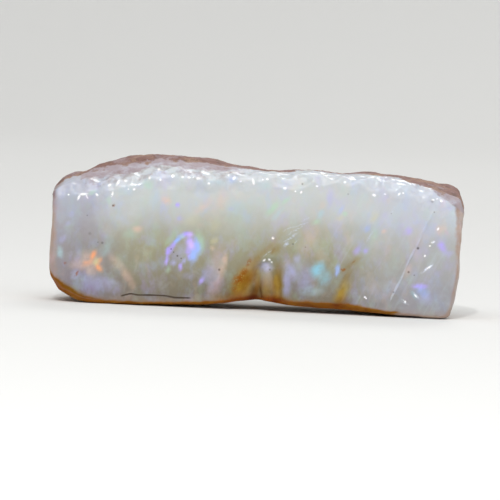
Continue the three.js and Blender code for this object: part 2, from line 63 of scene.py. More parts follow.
# Play of colour in the face: colour, across, up, half length, half width, turn, strength
PLAY = [
    # the orange star on the left, its haze and its neighbours
    ("peach", -13.1, 4, 0.95, 0.75, 0, 0.5), ("peach", -14, 3.7, 0.6, 0.35, 0, 0.3),
    ("peach", -12.9, 3.1, 0.4, 0.3, 0, 0.35), ("orange", -13.2, 3.85, 0.45, 0.2, 20, 0.5),
    ("orange", -12.75, 4.45, 0.36, 0.2, 65, 1), ("orange", -12.28, 3.5, 0.4, 0.2, 118, 0.9),
    ("orange", -12.2, 4.1, 0.25, 0.16, 60, 0.7), ("yellow", -12.5, 3.95, 0.3, 0.24, 60, 0.75),
    ("lilac", -11.8, 2.2, 1.2, 0.55, -20, 0.4), ("lilac", -14.2, 2.95, 0.4, 0.3, 60, 0.4),
    ("cyan", -15.4, 4.7, 0.5, 0.22, 100, 0.8), ("pink", -16.1, 4.2, 0.5, 0.25, 90, 0.7),
    ("lilac", -15.15, 5.8, 0.35, 0.22, 70, 0.5), ("lilac", -14.75, 7, 0.25, 0.2, 40, 0.4),
    ("lilac", -14.45, 7.75, 0.25, 0.2, 40, 0.4), ("cyan", -11.8, 4.9, 0.6, 0.4, 60, 0.35),
    # along the left of the rim
    ("green", -12.85, 9.5, 0.4, 0.16, 20, 0.6), ("green", -11.5, 8.85, 0.22, 0.3, 0, 0.4),
    ("cyan", -10.2, 9.65, 0.8, 0.35, 10, 0.4), ("green", -8.35, 10.1, 0.4, 0.35, 0, 0.5),
    ("cyan", -7.8, 8.9, 0.8, 0.45, 80, 0.25),
    # the peach mark and the peach arc between the star and the ring
    ("green", -9.8, 6.1, 0.5, 0.4, 0, 0.25), ("peach", -9.15, 6.55, 0.36, 0.24, 10, 0.6),
    ("peach", -10.9, 3.9, 0.8, 0.35, -48, 0.3), ("peach", -10.1, 2.9, 0.8, 0.35, -58, 0.4),
    ("peach", -9.6, 2.1, 0.4, 0.3, -65, 0.3),
    # the violet arch: its core, its fringe, its left limb, its top, its right limb and its foot
    ("lilac", -5.7, 4.7, 0.9, 0.5, 62, 0.35), ("green", -6.4, 5.9, 0.9, 0.3, 52, 0.35),
    ("green", -4.2, 5.6, 0.8, 0.35, 100, 0.5), ("cyan", -4.3, 4.9, 0.6, 0.3, 80, 0.5),
    ("violet", -6.85, 4.1, 0.42, 0.15, 88, 0.85), ("violet", -6.7, 4.75, 0.36, 0.2, 66, 1),
    ("violet", -6.35, 5.25, 0.45, 0.17, 55, 0.9), ("blue", -5.95, 5.75, 0.5, 0.17, 52, 1),
    ("cyan", -5.6, 6.05, 0.3, 0.13, 45, 0.9), ("violet", -5.2, 6.15, 0.38, 0.24, 0, 1),
    ("violet", -5.1, 5.7, 0.26, 0.17, 90, 0.8), ("violet", -4.85, 5.3, 0.6, 0.4, 110, 1),
    ("blue", -4.45, 5.3, 0.65, 0.2, 105, 1), ("orchid", -5, 6.1, 0.22, 0.18, 0, 0.9),
    ("orchid", -4.9, 5.3, 0.36, 0.24, 110, 1), ("violet", -5.1, 4.6, 0.45, 0.2, 95, 0.9),
    ("blue", -4.7, 4.5, 0.6, 0.34, 78, 1), ("lilac", -6.35, 3.8, 0.22, 0.19, 0, 0.8),
    ("violet", -5.74, 3.5, 0.3, 0.15, 90, 1), ("lilac", -5.45, 3.97, 0.24, 0.14, 70, 0.8),
    ("green", -6.7, 3.3, 0.3, 0.14, 80, 0.4), ("violet", -5.95, 8.45, 0.17, 0.17, 0, 1),
    ("lilac", -5.8, 7.45, 0.22, 0.2, 0, 0.7), ("violet", -4.1, 2.4, 0.26, 0.17, 60, 0.9),
    ("lilac", -3.7, 2.9, 0.8, 0.35, 60, 0.5), ("lilac", -5.1, 2.8, 0.5, 0.25, 0, 0.3),
    # warm and cool clouds between the ring and the notch
    ("peach", -6.85, 8.85, 0.42, 0.25, -10, 0.7), ("peach", -3.9, 8.4, 0.9, 0.3, 42, 0.45),
    ("yellow", -4.75, 7.3, 0.7, 0.5, 0, 0.25), ("pink", -2.9, 3.9, 1.3, 0.6, 75, 0.3),
    ("peach", -2.4, 8.9, 0.8, 0.45, 80, 0.35), ("yellow", -3.1, 6.9, 0.7, 0.5, 60, 0.25),
    ("yellow", -3, 5.6, 0.28, 0.22, 60, 0.6), ("peach", -3.2, 5, 0.2, 0.18, 0, 0.5),
    ("peach", -2.2, 4.15, 0.45, 0.22, 80, 0.6), ("peach", -2.45, 3.2, 0.75, 0.3, 70, 0.35),
    ("pink", -3, 2, 0.9, 0.5, 60, 0.35), ("cyan", -1.4, 8.3, 0.7, 0.55, 0, 0.35),
    ("lilac", -1.7, 8.15, 0.25, 0.2, 0, 0.35), ("cyan", -2.8, 10.3, 0.6, 0.25, -10, 0.45),
    ("blue", -1.6, 10.55, 0.4, 0.28, 10, 0.5),
    # the knob in the notch: its lilac top, its beige body, and the pale valley beside it
    ("lilac", 1.1, 3.5, 0.5, 0.4, 0, 0.6), ("peach", 1.1, 2.3, 0.45, 0.7, 0, 0.15),
    ("yellow", 0.4, 2.3, 1, 0.25, 88, 0.5), ("yellow", 2, 2, 1.3, 0.35, 88, 0.4),
    ("lilac", 2.8, 2.4, 1.2, 0.3, 88, 0.5), ("lilac", 4.1, 2.7, 1.3, 0.9, 90, 0.35),
    # the yellow slope on the left of the notch, and the streak under the blue spot
    ("yellow", -0.6, 2.3, 1.6, 0.65, 65, 0.5), ("yellow", 7.1, 1.3, 1.1, 0.45, 66, 0.4),
    # green flashes and the turquoise window to the right of the notch
    ("cyan", 1, 10.05, 0.5, 0.35, 0, 0.4), ("green", 1.6, 8.2, 0.7, 0.28, 48, 0.6),
    ("green", 2.7, 8.8, 0.45, 0.16, 45, 0.5), ("cyan", 2, 7.7, 0.6, 0.2, 45, 0.4),
    ("cyan", 5.5, 7.75, 0.4, 0.2, 70, 0.5), ("green", 5.15, 7.1, 0.35, 0.22, 30, 0.5),
    ("peach", 5.55, 8.5, 0.35, 0.25, 70, 0.3), ("lilac", 6.2, 8.85, 0.6, 0.28, 80, 0.4),
    ("blue", 7.15, 8.15, 0.35, 0.14, 60, 0.5), ("green", 7.4, 7.75, 0.22, 0.2, 0, 0.6),
    ("yellow", 7, 7.4, 0.35, 0.25, 30, 0.35), ("peach", 4.6, 5.8, 1.1, 0.7, 70, 0.3),
    ("lilac", 3.2, 3.1, 0.6, 0.3, 100, 0.6), ("lilac", 3.55, 4.2, 0.4, 0.3, 60, 0.45),
    ("turquoise", 5.25, 3.3, 0.65, 0.5, 60, 1), ("turquoise", 5.8, 2.6, 0.7, 0.45, 70, 0.6),
    ("cyan", 4.8, 1.6, 0.9, 0.4, 0, 0.4), ("blue", 6.8, 3.25, 0.45, 0.19, 80, 1),
    # spots of the right half
    ("violet", 8.4, 4.85, 0.4, 0.28, 60, 0.45), ("violet", 9.1, 4.8, 0.25, 0.16, 60, 0.6),
    ("blue", 9.25, 6.6, 0.28, 0.22, 60, 0.6), ("yellow", 9.7, 7.5, 0.5, 0.28, 60, 0.45),
    ("green", 9.8, 6.3, 0.9, 0.3, 75, 0.3), ("peach", 10.55, 6.4, 0.2, 0.16, 60, 0.6),
    ("violet", 12.5, 6.4, 0.35, 0.28, 60, 0.5), ("violet", 15.2, 5.15, 0.5, 0.25, 125, 0.7),
    ("lilac", 15.7, 4.6, 0.45, 0.25, 0, 0.5), ("violet", 13.4, 1.95, 0.55, 0.2, -5, 0.8),
    ("blue", 13.6, 1.5, 0.6, 0.35, -30, 0.5), ("turquoise", 12.9, 1.3, 0.4, 0.15, 125, 0.5),
    ("lilac", 13.9, 0.9, 0.6, 0.4, 0, 0.4), ("pink", 15.2, 8.6, 0.35, 0.22, 60, 0.45),
    ("lilac", 15.7, 8.2, 0.3, 0.22, 0, 0.6), ("pink", 15.55, 6.3, 0.4, 0.09, 120, 0.5),
    ("peach", 15.05, 6.5, 0.45, 0.35, 60, 0.35), ("peach", 12.45, 3.2, 0.6, 0.25, 64, 0.35),
]

# Iron stain in the face, in the same columns, and at the end a strip of painted shade
STAINS_AND_SHADE = [
    # the slope down into the notch, and the notch itself
    ("olive", -0.8, 2.2, 1.7, 0.8, 60, 1), ("olive", -0.5, 1.3, 1.4, 0.6, 8, 0.5),
    ("olive", -2.2, 1.1, 1, 0.4, 8, 0.5), ("amber", -0.2, 2.6, 0.9, 0.35, 60, 0.6),
    ("amber", 0.2, 1.4, 1, 0.4, 70, 0.9), ("umber", -0.1, 0.95, 0.7, 0.25, 5, 0.8),
    # the foot of the knob, and the valley on its right
    ("olive", 0.4, 2.4, 0.9, 0.25, 88, 0.6), ("olive", 1.1, 1.5, 0.6, 1, 0, 0.8),
    ("olive", 2, 2.2, 1.5, 0.45, 88, 0.9), ("olive", 2, 0.9, 0.9, 0.4, -10, 0.8),
    ("amber", 1.9, 0.9, 0.8, 0.2, -10, 0.7),
    # the fracture that climbs from the notch
    ("olive", 0.3, 4.1, 0.8, 0.3, 50, 0.5), ("olive", 1.3, 5, 0.9, 0.2, 42, 0.4),
    ("olive", 1.9, 4.9, 0.5, 0.3, 65, 0.45), ("amber", 1.65, 4.8, 0.3, 0.13, 60, 0.55),
    ("olive", 2.1, 6, 0.8, 0.3, 50, 0.2),
    # the streak under the blue spot, and its branch
    ("olive", 7.1, 1.3, 1.3, 0.55, 66, 0.9), ("amber", 7, 0.6, 0.9, 0.4, 20, 0.5),
    ("olive", 7.5, 2.7, 0.7, 0.22, 60, 0.5), ("olive", 8, 3.8, 1, 0.2, 38, 0.4),
    # painted shade: umber over the shaded edge between the notch and the streak
    ("umber", 4.4, 0.45, 1, 0.15, -8, 0.5),
]

# Speckles of rust: across, up, half length, half width, turn, strength
RUST = [
    (-1.05, 2.5, 0.6, 0.4, 48, 1), (-0.65, 3.05, 0.45, 0.26, 55, 0.9),
    (-0.3, 3.85, 0.35, 0.15, 60, 0.7), (-1.4, 1.7, 0.25, 0.2, 0, 0.6),
    (7.3, 3.35, 0.2, 0.12, 0, 1), (8.1, 3.9, 0.16, 0.1, 35, 0.4),
    (-14.1, 3, 0.26, 0.12, 65, 0.7), (-11.15, 8.45, 0.13, 0.12, 0, 0.7),
    (-15, 3.8, 0.14, 0.12, 0, 0.6),
]

# White bruises and ridges in the face, in the rust's columns; those on chips are painted highlights
WHITE = [
    (13.95, 3.35, 0.55, 0.1, 38, 0.9), (12.2, 0.7, 0.3, 0.1, -45, 0.8),
    (13.1, 1.2, 0.35, 0.1, -50, 0.7), (3.1, 5.9, 0.6, 0.07, 38, 0.7),
    (3.5, 6.5, 0.7, 0.05, 32, 0.6), (3.9, 6.9, 0.6, 0.06, 22, 0.6),
    (3, 6.6, 0.5, 0.05, 20, 0.5), (4.3, 7.4, 0.5, 0.05, 30, 0.4),
    (2.7, 5.3, 0.22, 0.1, 50, 0.8), (3.4, 5.5, 0.4, 0.05, 40, 0.4),
    (1.2, 4.6, 0.5, 0.05, 35, 0.4), (9.3, 5.9, 0.6, 0.08, 55, 0.5),
    (11.2, 8, 0.5, 0.08, 56, 0.4), (9, 1.1, 0.12, 0.1, 0, 0.5),
]

# Tiny painted highlights, most along the rim: across, up, half length, half width, and any turn
GLINTS = [
    (-13.87, 9.1, 0.24, 0.09, 65), (-13.5, 9.35, 0.3, 0.09, 5), (-13.22, 9.15, 0.16, 0.07, -60),
    (-14.7, 9.3, 0.07, 0.06), (-12.42, 9.3, 0.14, 0.08, -45), (-11.44, 10.05, 0.15, 0.09, 30),
    (-10.75, 10.25, 0.25, 0.1, 60), (-11.2, 9.35, 0.22, 0.08, 75), (-10.14, 10.4, 0.13, 0.08),
    (-9.9, 9.75, 0.07, 0.06), (-9.45, 9.73, 0.11, 0.09, 20), (-8.2, 10.65, 0.11, 0.1),
    (-7.34, 10.5, 0.1, 0.08), (-6.35, 10.78, 0.13, 0.11), (-5.58, 10.73, 0.09, 0.08),
    (-5.05, 10.67, 0.14, 0.07), (-4.75, 10.72, 0.09, 0.09), (-4.36, 10.6, 0.15, 0.1, -10),
    (-3.48, 10.2, 0.1, 0.09, 40), (-1.89, 10.85, 0.09, 0.08), (-1.47, 10.63, 0.17, 0.11, 60),
    (-0.94, 10.38, 0.09, 0.07), (0.08, 10.35, 0.24, 0.1, 100), (0.82, 10.5, 0.07, 0.06),
    (1.2, 10.55, 0.08, 0.07), (2.6, 9.83, 0.14, 0.12), (3.44, 9.57, 0.07, 0.07),
    (3.9, 9.5, 0.11, 0.08, 60), (5.17, 10, 0.1, 0.08), (7.4, 10.3, 0.1, 0.08),
    (9.73, 9.27, 0.15, 0.1, -20), (10.6, 9.35, 0.09, 0.07), (11.73, 9.35, 0.14, 0.08, 50),
    (12.05, 9.43, 0.07, 0.06), (14.45, 8.87, 0.12, 0.08), (14.77, 8.95, 0.08, 0.06),
    (15.1, 8.8, 0.09, 0.07), (14.85, 6.55, 0.13, 0.08, 60), (14.45, 5.5, 0.15, 0.08, 20),
    (14.2, 5.2, 0.08, 0.06), (13.8, 4.4, 0.09, 0.07, 60), (14.1, 3.45, 0.3, 0.07, 35),
    (1.65, 5.83, 0.11, 0.1), (0.95, 4.05, 0.14, 0.08, 40), (1.35, 4.1, 0.12, 0.09, -30),
    (1.55, 3.9, 0.09, 0.07, -50), (12.2, 0.75, 0.14, 0.07, -45), (13.05, 1.2, 0.16, 0.06, -50),
    (9, 1.1, 0.08, 0.07), (9.1, 1, 0.06, 0.06),
]

# Small dark specks in the face: across, up, half width, strength
SPECKS = [
    (-11.15, 8.45, 0.07, 0.7), (-12, 5.45, 0.1, 0.5), (-12.35, 5.5, 0.06, 0.4),
    (-13, 6.2, 0.12, 0.25), (-13.2, 7.65, 0.06, 0.4), (-2.65, 3.3, 0.1, 0.7),
    (13.25, 5, 0.1, 0.8), (12.5, 3.1, 0.09, 0.7), (12.95, 2.85, 0.06, 0.5),
    (14.55, 7.9, 0.06, 0.5), (14.4, 8.75, 0.12, 0.35), (4, 10.15, 0.08, 0.5),
    (3.25, 5.35, 0.08, 0.5), (4.25, 5.1, 0.06, 0.4), (1.4, 3.3, 0.08, 0.5), (11.3, 1.5, 0.07, 0.5),
    (7.65, 9.35, 0.07, 0.35), (11.1, 7.8, 0.05, 0.4), (-6.5, 4.95, 0.06, 0.7),
    (-6.3, 4.7, 0.05, 0.8), (-6, 4.4, 0.07, 0.8), (-5.7, 4.2, 0.06, 0.7),
]

# Lines drawn over the face, each point across and up. First the hairline crack low on the left
CRACK = [
    (-10.5, 1.2), (-9.75, 1.38), (-9.15, 1.27), (-7.8, 1.25), (-7, 1.2), (-6.2, 1.05), (-4.9, 1.02),
]
# A thin ridge that climbs through the right half, with a painted highlight along it
RIDGE = [(11.05, 0.95), (11.97, 2.71), (12.61, 4.23), (13.25, 5.43), (13.97, 7.03), (14.53, 7.95)]
# The seam of dark grains above the rim
SEAM = [
    (-13.4, 10.3), (-12.2, 10.35), (-11.2, 10.75), (-9, 10.8), (-7.9, 11.3), (-6.2, 11.3),
    (-4.4, 11), (-0.5, 11.1),
]
# Where the skin begins above the face
SKIN_LINE = [
    (-16.5, 10.2), (-14.6, 10.8), (-13.6, 10.55), (-12, 10.6), (-10.7, 10.95), (-9.8, 10.9),
    (-8.1, 11.5), (-7.2, 11.6), (-4.7, 11.25), (-2.4, 11.1), (0.8, 11.3), (3.8, 11.7), (7, 11.4),
    (9.4, 11), (10.7, 10.65), (11.9, 10.45), (12.6, 10.15), (14.1, 9.8), (15.2, 9.05), (16.6, 8),
]
# The foot of the face
KEEL_LINE = [
    (-16.5, 2.9), (-16, 2.2), (-15.2, 1.6), (-13.9, 0.9), (-12.2, 0.6), (-7.8, 0.5), (-2.4, 0.6),
    (-1.2, 0.8), (0.2, 0.95), (1.4, 0.75), (3.2, 0.4), (7, 0.05), (10.6, -0.3), (14.5, -0.65),
    (16.5, -0.7),
]
# How far the amber under the stone reaches up from that foot
AMBER_REACH = [
    (-16.5, 0.8), (-14.5, 0.75), (-12.5, 0.45), (-11, 0.18), (-3.5, 0.16), (-1, 0.3), (2.6, 0.42),
    (4, 0.5), (8.5, 0.42), (10.5, 0.2), (12, 0.02), (16.5, 0.1),
]
LINE_ACROSS = (-17.0, 17.0)
LINE_UP = (-1.0, 13.0)
CRACK_WIDTH = 0.09
RIDGE_WIDTH = 0.24
SEAM_WIDTH = 0.6

# A patch of colour is a lens in the stone, and its outline wanders a little
PATCH_BEHIND = 0.2
PATCH_DEPTH = 1.8
PATCH_EDGE = (1.6, 0.2)  # where it starts and where it is full, in half sizes
WANDER = 0.45
WANDER_SIZE = 0.9

# The opal's layers: how much each lays over what is under it
LEFT_TINT = 0.48
RIGHT_TINT = 0.42
VEIL_MILK = 0.18
STREAK_MILK = 0.16
# the milk along the ridge is a painted highlight
RIDGE_MILK = 0.5
RIM_MILK = 0.26
EDGE_MILK = 0.15
FLAME_SHARE = 0.15
FLAMES = ("violet", "green", "cyan", "peach", "blue")
# the painted shade of the face is lighter on the right half
RIGHT_PALER = 0.9  # the right half has the colour that lies this much higher elsewhere
STREAK_TURN = math.radians(61)
STREAK_STRETCH = (0.16, 0.5, 2.2)  # how fine the streaks are along, behind and across their run

# Its margins: where the stained ends begin, and how much stain they and the foot hold
LEFT_MARGIN = -15.75
RIGHT_MARGIN = 16.3
END_CREAM = 0.72
FOOT_CREAM = 0.25
WARM_OLIVE = 0.6

# Its skin: how far behind the face it lies on top at any height, and turns brown
TOP_DEPTH = 2.6
BROWN_DEPTH = 2.6
BROWN_NEARER = 1.8  # how much nearer that is at the right end

# Its gloss: clean opal is smooth, its rim shines, and grime, stain and skin are dull
ROUGHNESS = 0.22
GRIME_ROUGHNESS = 0.2
DULL_ROUGHNESS = 0.35
GLOSS = 0.12
RIM_GLOSS = 0.48
BUMP_HEIGHT = 0.03 * MM
OPAL_CONSTANTS = {
    "Coat Roughness": 0.08,
    "IOR": 1.45,
    "Specular IOR Level": 0.14,
    "Subsurface Weight": 0.6,
    "Subsurface Radius": (1.0, 0.8, 0.6),
    "Subsurface Scale": 0.4 * MM,
}

# The broken surface: its sizes, its small chips as a share of the large, and what it stores
SURFACE_SIZES = (
    "Wave height", "Wave size", "Chip depth", "Chip size", "Lump height", "Lump size",
    "Ripple height", "Ripple size", "Pit depth", "Pit size",
)
SMALL_CHIP_SIZE = 0.5
SMALL_CHIP_DEPTH = 0.4
EDGE_ROUNDS = 40
FACING_ROUNDS = 12
EDGE = "edge"
FACING = "facing"
PLAY_COLOUR = "play colour"
PLAY_CLEAR = "play clear"
# the stored filter holds the iron stain and one strip of painted shade
IRON_AND_SHADE = "iron filter"

# The studio, in metres. Lights: name, setting, share of its power, width, place
LIGHTS = (
    ("Key", "key", 1.0, 0.5, (-0.06, -0.3, 0.47)),
    ("Fill", "key", 0.3, 0.4, (0.42, -0.36, 0.2)),
    ("Back", "rim", 1.0, 0.3, (0.12, 0.45, 0.4)),
    ("Spark", "spark", 1.0, 0.01, (-0.05, -0.34, 0.3)),
)
STONE_MIDDLE = 6 * MM
FLOOR_RADII = (0.05, 0.2, 0.42)
FLOOR_REACH = 0.8
FLOOR_RISE = 0.38
FLOOR_SIDES = 96
FLOOR_STEPS = 16
FLOOR_ROUGHNESS = 0.7
PICTURE_MIDDLE = (-0.19, 4.87)  # across and up the face, in millimetres


def to_linear(value):
    """One channel of a screen colour, 0 to 255, as the light that it stands for."""
    share = value / 255
    return share / 12.92 if share <= 0.04045 else ((share + 0.055) / 1.055) ** 2.4


def tint(name, description, red, green, blue):
    """A colour that a user may change, given as its red, green and blue on a screen."""
    return bpy.props.FloatVectorProperty(
        name=name, description=description, subtype="COLOR", size=3, min=0, max=1,
        default=[to_linear(channel) for channel in (red, green, blue)],
    )


def length(name, description, millimetres):
    """A length that a user may change."""
    return bpy.props.FloatProperty(
        name=name, description=description, default=millimetres * MM, min=0, precision=6,
        subtype="DISTANCE", unit="LENGTH",
    )


def number(name, description, default, subtype="NONE"):
    """Any other number that a user may change."""
    return bpy.props.FloatProperty(
        name=name, description=description, default=default, min=0, subtype=subtype,
    )


class OpalSurface(bpy.types.PropertyGroup):
    """The fine shape of the stone's broken surface."""

    grain: length("Grain", "Width of one face of the stone's mesh", 0.145)
    softness: bpy.props.IntProperty(
        name="Softness", description="How often the surface is averaged", default=3, min=0,
    )
    wave_height: length("Wave height", "Height of the broad waves of the broken faces", 0.10)
    wave_size: length("Wave size", "Distance between those waves", 2.2)
    chip_depth: length("Chip depth", "Depth of the small chips along worn edges", 0.11)
    chip_size: length("Chip size", "Distance between those chips", 1.15)
    lump_height: length("Lump height", "Height of the waxy lumps along the rim", 0.09)
    lump_size: length("Lump size", "Distance between those lumps", 0.75)
    ripple_height: length("Ripple height", "Height of the fine ripples", 0.018)
    ripple_size: length("Ripple size", "Distance between those ripples", 0.5)
    pit_depth: length("Pit depth", "Depth of the pits in the skin", 0.09)
    pit_size: length("Pit size", "Distance between those pits", 0.55)
    seed: number("Seed", "Another number gives other waves and chips", 4.0)


class OpalColours(bpy.types.PropertyGroup):
    """The stone's colours."""

    # High, middle and low paint the face's shade: lighter under the rim, darker towards the foot
    high: tint("High", "Milky opal below the rim", 192, 195, 194)
    middle: tint("Middle", "Milky opal halfway up the face", 156, 153, 129)
    low: tint("Low", "Clearer opal low in the face", 118, 109, 95)
    left: tint("Left", "Lilac that tints the left end", 142, 134, 160)
    right: tint("Right", "Lilac that tints the right end", 184, 187, 205)
    # Milk also paints highlights, along the ridge and on some chips
    milk: tint("Milk", "Bluish white of thin edges, ridges and bruises", 200, 208, 224)
    cream: tint("Cream", "Stained margins", 170, 144, 128)
    skin: tint("Skin", "Weathered opal where the skin meets the break", 159, 147, 151)
    crust: tint("Crust", "Reddish brown skin on top", 128, 98, 92)
    rock: tint("Rock", "Darker rock that still clings to the skin", 98, 78, 70)
    ochre: tint("Ochre", "Sandy parts of the skin", 158, 131, 110)
    amber: tint("Amber", "Iron stain seen through clear opal, as a filter", 222, 166, 40)
    # Umber also paints the shade on the edge between the notch and the streak
    umber: tint("Umber", "Iron stain at its deepest, as a filter", 170, 100, 16)
    olive: tint("Olive", "Thin iron stain, as a filter", 240, 200, 84)
    rust: tint("Rust", "Spots of iron", 146, 86, 14)
    # Glint paints highlights: the tiny glints on the rim, the knob and the chips
    glint: tint("Glint", "Tiny bruises on the rim", 252, 252, 255)
    dark: tint("Dark", "Specks and the crack", 70, 58, 48)
    violet: tint("Violet", "Play of colour", 186, 168, 252)
    lilac: tint("Lilac", "Play of colour", 178, 178, 222)
    orchid: tint("Orchid", "Play of colour", 214, 190, 248)
    blue: tint("Blue", "Play of colour", 160, 186, 248)
    cyan: tint("Cyan", "Play of colour", 174, 206, 214)
    turquoise: tint("Turquoise", "Play of colour", 144, 194, 212)
    green: tint("Green", "Play of colour", 176, 212, 182)
    yellow: tint("Yellow", "Play of colour", 210, 204, 158)
    peach: tint("Peach", "Play of colour", 222, 190, 172)
    orange: tint("Orange", "Play of colour", 238, 168, 122)
    pink: tint("Pink", "Play of colour", 206, 176, 192)


class OpalStudio(bpy.types.PropertyGroup):
    """The stage, the lights and the camera."""

    floor_colour: tint("Floor", "Colour of the floor", 226, 226, 224)
    sky: number("Sky", "Brightness of the even light", 0.46)
    key: number("Key", "Power of the large soft light", 1.5, "POWER")
    spark: number("Spark", "Power of the small light that glints", 0.6, "POWER")
    rim: number("Rim", "Power of the light behind", 0.8, "POWER")
    reach: length("Reach", "Distance from the camera to the face", 400)
    field: length("Field", "Width of the picture at the face", 40)
    elevation: number("Elevation", "How far the camera looks down", math.radians(3), "ANGLE")


class Nodes:
    """Adds nodes to one tree, and links or sets what is passed to their sockets."""

    def __init__(self, tree):
        self.tree = tree

    def node(self, kind, sockets=None, **settings):
        node = self.tree.nodes.new(kind)
        for name, value in settings.items():
            setattr(node, name, value)
        for key, value in (sockets or {}).items():
            self.feed(node.inputs[key], value)
        return node

    def add(self, kind, sockets=None, **settings):
        """A new node's first output."""
        return self.node(kind, sockets, **settings).outputs[0]

    def feed(self, socket, value):
        if isinstance(value, bpy.types.NodeSocket):
            self.tree.links.new(value, socket)
        elif socket.type == "RGBA" and len(value) == 3:
            socket.default_value = (*value, 1)
        else:
            socket.default_value = value

    def math(self, operation, *values, clamp=False):
        sockets = dict(enumerate(values))
        return self.add("ShaderNodeMath", sockets, operation=operation, use_clamp=clamp)

    def times(self, product, *factors):
        for factor in factors:
            product = self.math("MULTIPLY", product, factor)
        return product

    def plus(self, first, second):
        return self.math("ADD", first, second)

    def minus(self, first, second):
        return self.math("SUBTRACT", first, second)

    def larger(self, first, second):
        return self.math("MAXIMUM", first, second)

    def vector(self, operation, *values):
        node = self.node("ShaderNodeVectorMath", operation=operation)
        for socket, value in zip(node.inputs, values):
            self.feed(socket, value)
        return node.outputs["Value" if operation in ("LENGTH", "DOT_PRODUCT") else "Vector"]

    def scale(self, vector, factor):
        sockets = {0: vector, "Scale": factor}
        return self.add("ShaderNodeVectorMath", sockets, operation="SCALE")

    def turned(self, vector, angle):
        """A place turned about Y."""
        sockets = {"Vector": vector, "Angle": angle}
        return self.add("ShaderNodeVectorRotate", sockets, rotation_type="Y_AXIS")

    def mix(self, share, first, second, blend="MIX"):
        sockets = {0: share, 6: first, 7: second}
        return self.node("ShaderNodeMix", sockets, data_type="RGBA", blend_type=blend).outputs[2]

    def fade(self, value, start, end, share=1.0):
        """0 at start, the share at end, smoothly."""
        sockets = {"Value": value, "From Min": start, "From Max": end, "To Max": share}
        return self.add("ShaderNodeMapRange", sockets, interpolation_type="SMOOTHSTEP")

    def noise(self, vector, size, detail=2.0, roughness=0.5):
        """Smooth noise about 0.5, with lumps of a size in the vector's own units."""
        sockets = {"Vector": vector, "Scale": 1 / size, "Detail": detail, "Roughness": roughness}
        return self.node("ShaderNodeTexNoise", sockets)

    def curve(self, across, points):
        """The height of a drawn line at a place across the face."""
        start, end = LINE_ACROSS
        low, high = LINE_UP
        sockets = {"Value": across, "From Min": start, "From Max": end}
        share = self.add("ShaderNodeMapRange", sockets)
        node = self.node("ShaderNodeFloatCurve", {"Value": share})
        drawn = node.mapping.curves[0].points
        placed = [((x - start) / (end - start), (z - low) / (high - low)) for x, z in points]
        drawn[0].location = placed[0]
        drawn[1].location = placed[-1]
        for place in placed[1:-1]:
            drawn.new(*place)
        for point in drawn:
            point.handle_type = "VECTOR"
        node.mapping.update()
        sockets = {"Value": node.outputs[0], "To Min": low, "To Max": high}
        return self.add("ShaderNodeMapRange", sockets)


def group_nodes(name, kind, inputs, outputs):
    """A new node group with named sockets: its tree, its Nodes and its input node's sockets."""
    tree = bpy.data.node_groups.new(name, kind)
    for direction, sockets in (("INPUT", inputs), ("OUTPUT", outputs)):
        for socket, holds in sockets.items():
            tree.interface.new_socket(socket, in_out=direction, socket_type="NodeSocket" + holds)
    nodes = Nodes(tree)
    return tree, nodes, nodes.node("NodeGroupInput").outputs


def patch_group(kind):
    """A soft lens-shaped patch inside the stone: 1 in its middle, and 0 outside it."""
    tree, nodes, given = group_nodes(
        "Patch in the stone", kind,
        {
            "Place": "Vector", "Middle": "Vector", "Half size": "Vector", "Turn": "Float",
            "Strength": "Float",
        },
        {"Mask": "Float"},
    )
    offset = nodes.turned(nodes.vector("SUBTRACT", given["Place"], given["Middle"]), given["Turn"])
    reach = nodes.vector("LENGTH", nodes.vector("DIVIDE", offset, given["Half size"]))
    mask = nodes.times(nodes.fade(reach, *PATCH_EDGE), given["Strength"])
    nodes.node("NodeGroupOutput", {"Mask": mask})
    return tree


class Face(Nodes):
    """Nodes that know the places on the stone's face, in millimetres."""

    def __init__(self, tree, millimetres, kind):
        super().__init__(tree)
        self.kind = kind
        self.lens = patch_group(kind + "NodeTree")
        self.place = self.vector("ADD", self.turned(millimetres, LEAN), (0, FACE_DEPTH, 0))
        noise = self.noise(self.place, WANDER_SIZE, 3, 0.6).outputs["Color"]
        wander = self.scale(self.vector("SUBTRACT", noise, (0.5, 0.5, 0.5)), WANDER)
        self.uneven = self.vector("ADD", self.place, wander)
        self.across, self.behind, self.up = self.node("ShaderNodeSeparateXYZ", {0: self.place}).outputs
        self.below_skin = self.minus(self.curve(self.across, SKIN_LINE), self.up)

    def patch(self, place, across, up, half_length, half_width, turn=0, strength=1):
        """One patch of the face, its long side turned anticlockwise from level."""
        sockets = {
            "Place": place, "Middle": (across, PATCH_BEHIND, up),
            "Half size": (half_length, PATCH_DEPTH, half_width),
            "Turn": math.radians(turn), "Strength": strength,
        }
        return self.node(self.kind + "NodeGroup", sockets, node_tree=self.lens).outputs["Mask"]

    def spots(self, place, rows):
        """One mask for many small marks."""
        mask = self.patch(place, *rows[0])
        for where in rows[1:]:
            mask = self.larger(mask, self.patch(place, *where))
        return mask

    def layers(self, rows, colours, flicker):
        """Marks of named colours: their light, and how clear they leave what is under them."""
        light, clear = (0.0, 0.0, 0.0), 1.0
        for name, *where in rows:
            mask = self.times(self.patch(self.uneven, *where), flicker)
            light = self.mix(mask, light, getattr(colours, name))
            clear = self.times(clear, self.minus(1.0, mask))
        return light, clear

    def filters(self, rows, colours):
        """Marks that hold back light: what they leave of what is under them."""
        left = (1.0, 1.0, 1.0)
        for name, *where in rows:
            mask = self.patch(self.uneven, *where)
            left = self.mix(mask, left, getattr(colours, name), "MULTIPLY")
        return left


